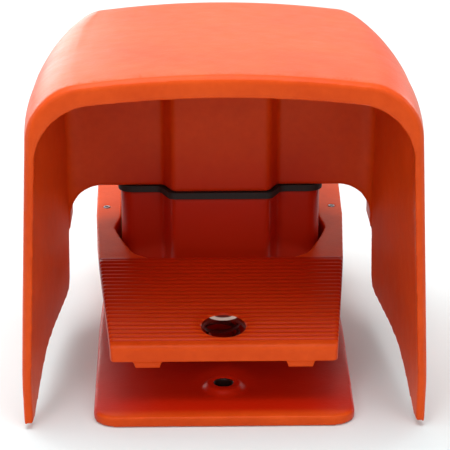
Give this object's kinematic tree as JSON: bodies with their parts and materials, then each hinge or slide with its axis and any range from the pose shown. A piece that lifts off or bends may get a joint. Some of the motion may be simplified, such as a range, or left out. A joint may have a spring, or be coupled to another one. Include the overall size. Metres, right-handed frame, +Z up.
{
  "type": "guarded industrial foot switch",
  "caption": "Heavy-duty foot switch with a cast guard hood, a ribbed rocking treadle and a sealed switch housing with a gasketed cover.",
  "frame": {"origin": "centre of the outline on the floor: the base plate's underside is at height zero", "axes": "+X to the operator's right, -Y towards the foot opening, +Z up"},
  "size_m": [0.1796, 0.222, 0.1625],
  "materials": {
    "painted_casting": "semi-gloss orange-red coating over cast iron",
    "black_rubber": "matt",
    "zinc_steel": "zinc plated",
    "bare_steel": "ground",
    "bronze": "sintered bronze",
    "pale_plastic": "natural nylon",
    "black_plastic": "moulded thermoset",
    "red_plastic": "moulded",
    "brass": "stamped",
    "green_screw": "green earth marking"
  },
  "bodies": {
    "housing": {"base_casting": "painted_casting", "guard_hood": "painted_casting", "cover_gasket": "black_rubber", "cover_screws": "zinc_steel", "shaft_bushings": "bronze", "shaft_seals": "black_rubber", "switch_bracket": "zinc_steel", "bracket_screws": "zinc_steel", "switch_left": "black_plastic", "switch_right": "black_plastic", "switch_screws": "zinc_steel", "switch_nuts": "zinc_steel", "terminal_tabs": "brass", "terminal_screws": "zinc_steel", "ground_screw": "green_screw", "return_spring": "bare_steel"},
    "pedal": {"treadle": "painted_casting", "pivot_shaft": "bare_steel", "arm_pins": "bare_steel", "thrust_washers": "pale_plastic", "actuator_arm": "zinc_steel", "actuator_set_screw": "bare_steel", "adjusting_screws": "bare_steel", "adjusting_nuts": "zinc_steel"},
    "plunger_l": {"plunger_left": "red_plastic"},
    "plunger_r": {"plunger_right": "red_plastic"}
  },
  "joints": [
    {"name": "treadle_hinge", "type": "hinge", "parent": "housing", "child": "pedal", "pos_m": [0, 0.047, 0.0385], "axis": [1, 0, 0], "range_deg": [0, 7.2], "stiffness_Nm_per_rad": 12, "springref_deg": -14.32, "deforming": ["return_spring"]},
    {"name": "plunger_left_slide", "type": "slide", "parent": "housing", "child": "plunger_l", "axis": [0, 0, 1], "range_m": [0, 0.0022]},
    {"name": "plunger_right_slide", "type": "slide", "parent": "housing", "child": "plunger_r", "axis": [0, 0, 1], "range_m": [0, 0.0022]}
  ],
  "couplings": [
    {"joint": "plunger_left_slide", "follows": "treadle_hinge", "m_per_rad": 0.0172},
    {"joint": "plunger_right_slide", "follows": "treadle_hinge", "m_per_rad": 0.0172}
  ]
}
